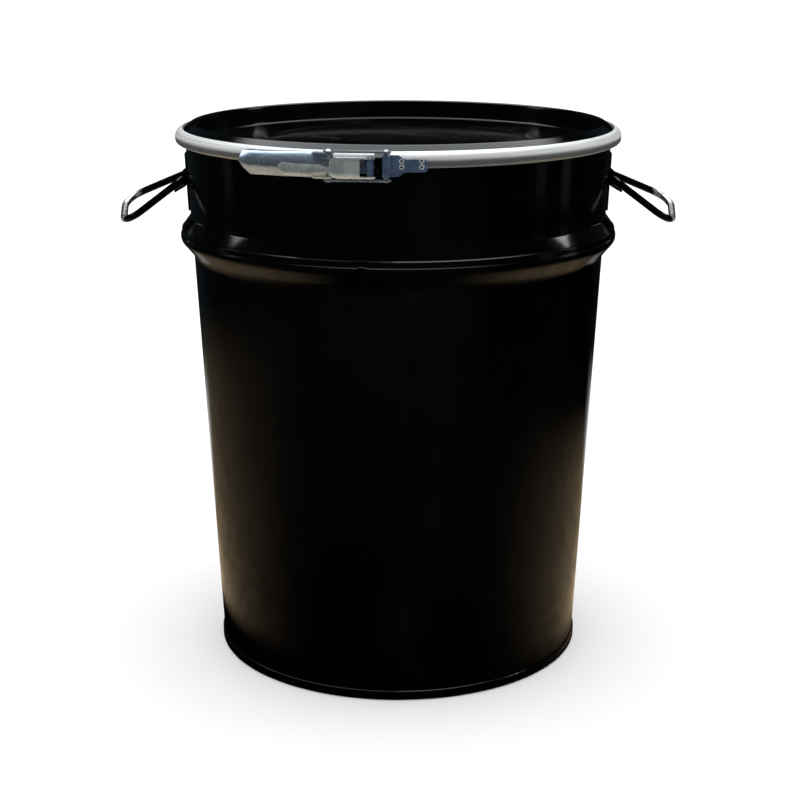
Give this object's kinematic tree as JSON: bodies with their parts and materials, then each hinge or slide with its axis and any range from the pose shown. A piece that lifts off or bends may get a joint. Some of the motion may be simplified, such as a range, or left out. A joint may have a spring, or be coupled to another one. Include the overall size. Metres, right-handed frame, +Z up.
{
  "type": "open-head steel drum",
  "caption": "Tapered open-head steel drum with a recessed lid, a lever-lock closing ring with a toggle latch, and wire drop handles at its sides.",
  "frame": {"origin": "drum axis at the floor, under the bottom chime", "axes": "+Z up along the drum axis, latch towards -Y, handles on the X axis"},
  "size_m": [0.5548, 0.4445, 0.5329],
  "materials": {
    "black_enamel": "gloss stoving enamel",
    "zinc_plate": "bright zinc plate on rolled strip",
    "black_wire": "black coated wire, worn at the grip",
    "seal_rubber": "foamed seal",
    "seam_compound": "lining compound"
  },
  "bodies": {
    "drum": {"drum_shell": "black_enamel", "bottom_end": "black_enamel", "bottom_seam_compound": "seam_compound", "handle_bracket_right": "black_enamel", "handle_bracket_left": "black_enamel"},
    "lid": {"lid": "black_enamel", "lid_gasket": "seal_rubber"},
    "ring_rear": {"ring_band_rear": "zinc_plate"},
    "ring_left": {"ring_band_left": "zinc_plate", "fulcrum_bracket": "zinc_plate", "fulcrum_rivets": "zinc_plate", "lever_pivot_pin": "zinc_plate"},
    "ring_right": {"ring_band_right": "zinc_plate", "hinge_leaf": "zinc_plate", "hinge_leaf_rivets": "zinc_plate", "hinge_leaf_pin": "zinc_plate"},
    "lever": {"lever_grip": "zinc_plate", "lever_body": "zinc_plate"},
    "link": {"link_plate_upper": "zinc_plate", "link_plate_lower": "zinc_plate", "link_lever_pin": "zinc_plate", "link_end_rivets": "zinc_plate"},
    "handle_left": {"handle_left": "black_wire"},
    "handle_right": {"handle_right": "black_wire"}
  },
  "joints": [
    {"name": "lid_lift", "type": "slide", "parent": "drum", "child": "lid", "axis": [0, 0, 1], "range_m": [0, 0.25]},
    {"name": "ring_rear_slide", "type": "slide", "parent": "lid", "child": "ring_rear", "axis": [0, 1, 0], "range_m": [0, 0.0075]},
    {"name": "ring_left_flex", "type": "hinge", "parent": "ring_rear", "child": "ring_left", "pos_m": [-0.18836, 0.10875, 0.521], "axis": [0, 0, -1], "range_deg": [0, 4]},
    {"name": "ring_right_flex", "type": "hinge", "parent": "ring_rear", "child": "ring_right", "pos_m": [0.18836, 0.10875, 0.521], "axis": [0, 0, 1], "range_deg": [0, 4]},
    {"name": "lever_open", "type": "hinge", "parent": "ring_left", "child": "lever", "pos_m": [-0.024, -0.2226, 0.5155], "axis": [0, 0, 1], "range_deg": [0, 135]},
    {"name": "link_swing", "type": "hinge", "parent": "lever", "child": "link", "pos_m": [-0.06, -0.2165, 0.5165], "axis": [0, 0, -1], "range_deg": [0, 89]},
    {"name": "handle_left_swing", "type": "hinge", "parent": "drum", "child": "handle_left", "pos_m": [-0.2106, 0, 0.478], "axis": [0, 1, 0], "range_deg": [0, 92]},
    {"name": "handle_right_swing", "type": "hinge", "parent": "drum", "child": "handle_right", "pos_m": [0.2106, 0, 0.478], "axis": [0, -1, 0], "range_deg": [0, 92]}
  ],
  "couplings": [
    {"joint": "ring_rear_slide", "follows": "lever_open", "m_per_rad": 0.003141},
    {"joint": "ring_left_flex", "follows": "lever_open", "ratio": 0.028356},
    {"joint": "ring_right_flex", "follows": "lever_open", "ratio": 0.028356},
    {"joint": "link_swing", "follows": "lever_open", "ratio": 0.65444}
  ]
}
